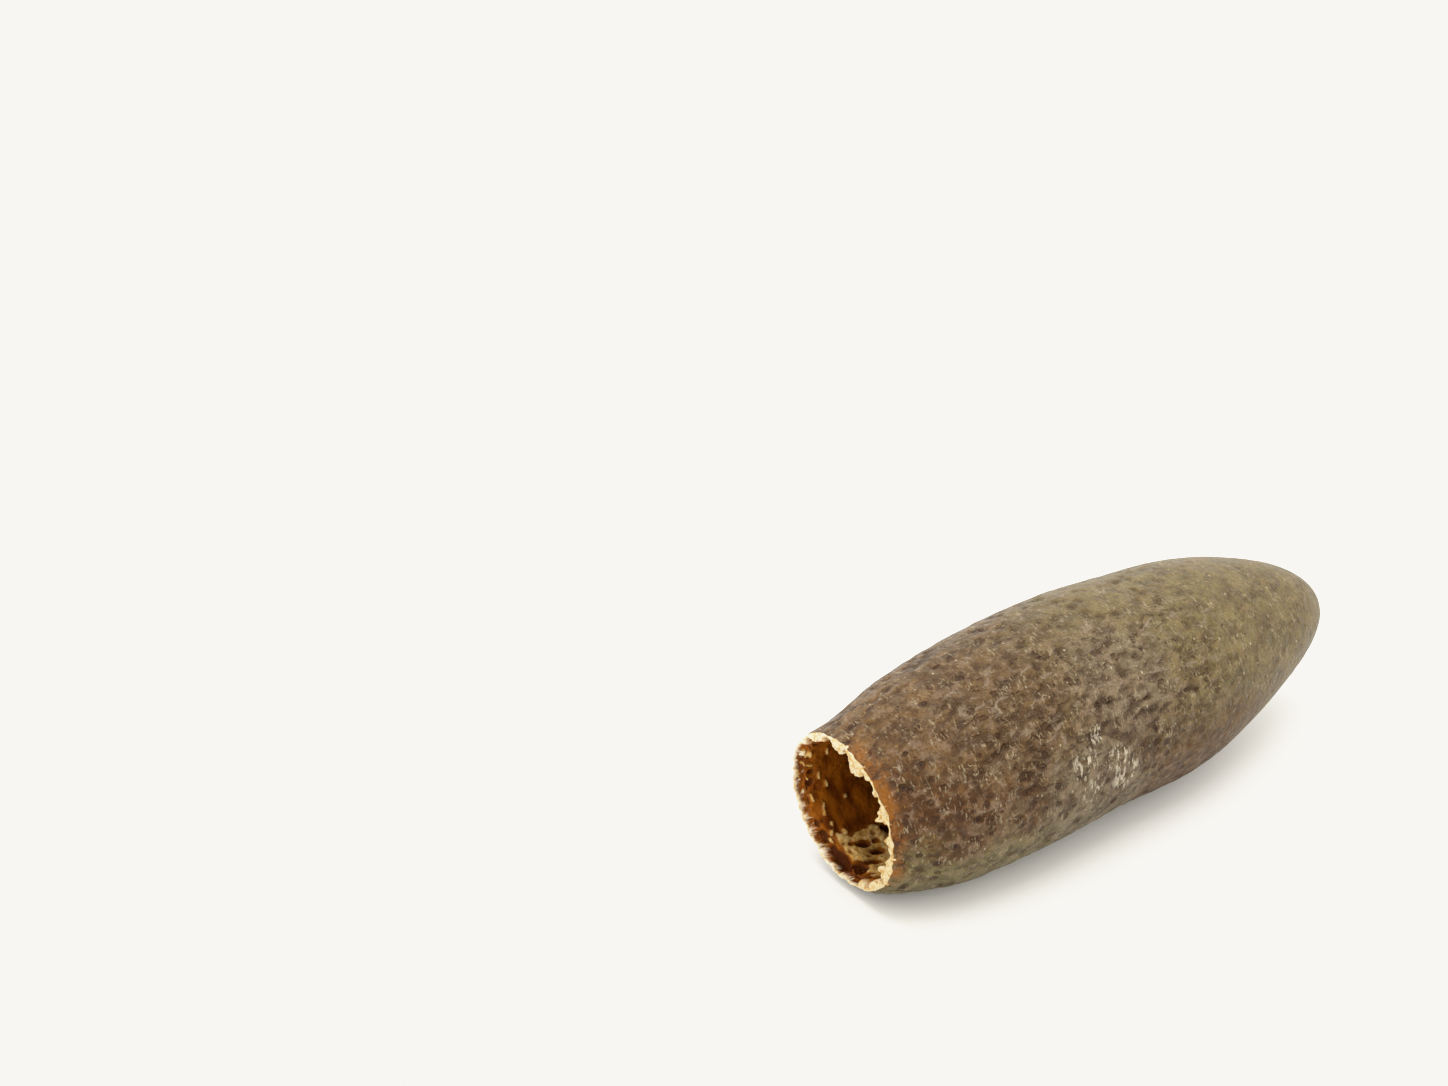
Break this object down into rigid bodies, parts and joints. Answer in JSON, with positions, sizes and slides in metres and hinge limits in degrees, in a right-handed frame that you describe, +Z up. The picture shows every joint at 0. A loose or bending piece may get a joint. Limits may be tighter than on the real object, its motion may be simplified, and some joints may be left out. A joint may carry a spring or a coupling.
{
  "type": "jequitiba pod",
  "caption": "Dry woody tree pod lying on its side: hollow, closed and rounded at the stem end, with a torn open mouth and a pitted brown skin",
  "frame": {"origin": "on the surface the pod lies on, under the middle of its bounding box", "axes": "+Z up, +X from the open mouth to the closed stem end, +Y to the pod's left seen from the mouth"},
  "size_m": [0.0888, 0.033, 0.0316],
  "materials": {
    "husk": "leathery, soft sheen"
  },
  "bodies": {
    "root": {"pod": "husk"}
  },
  "joints": []
}
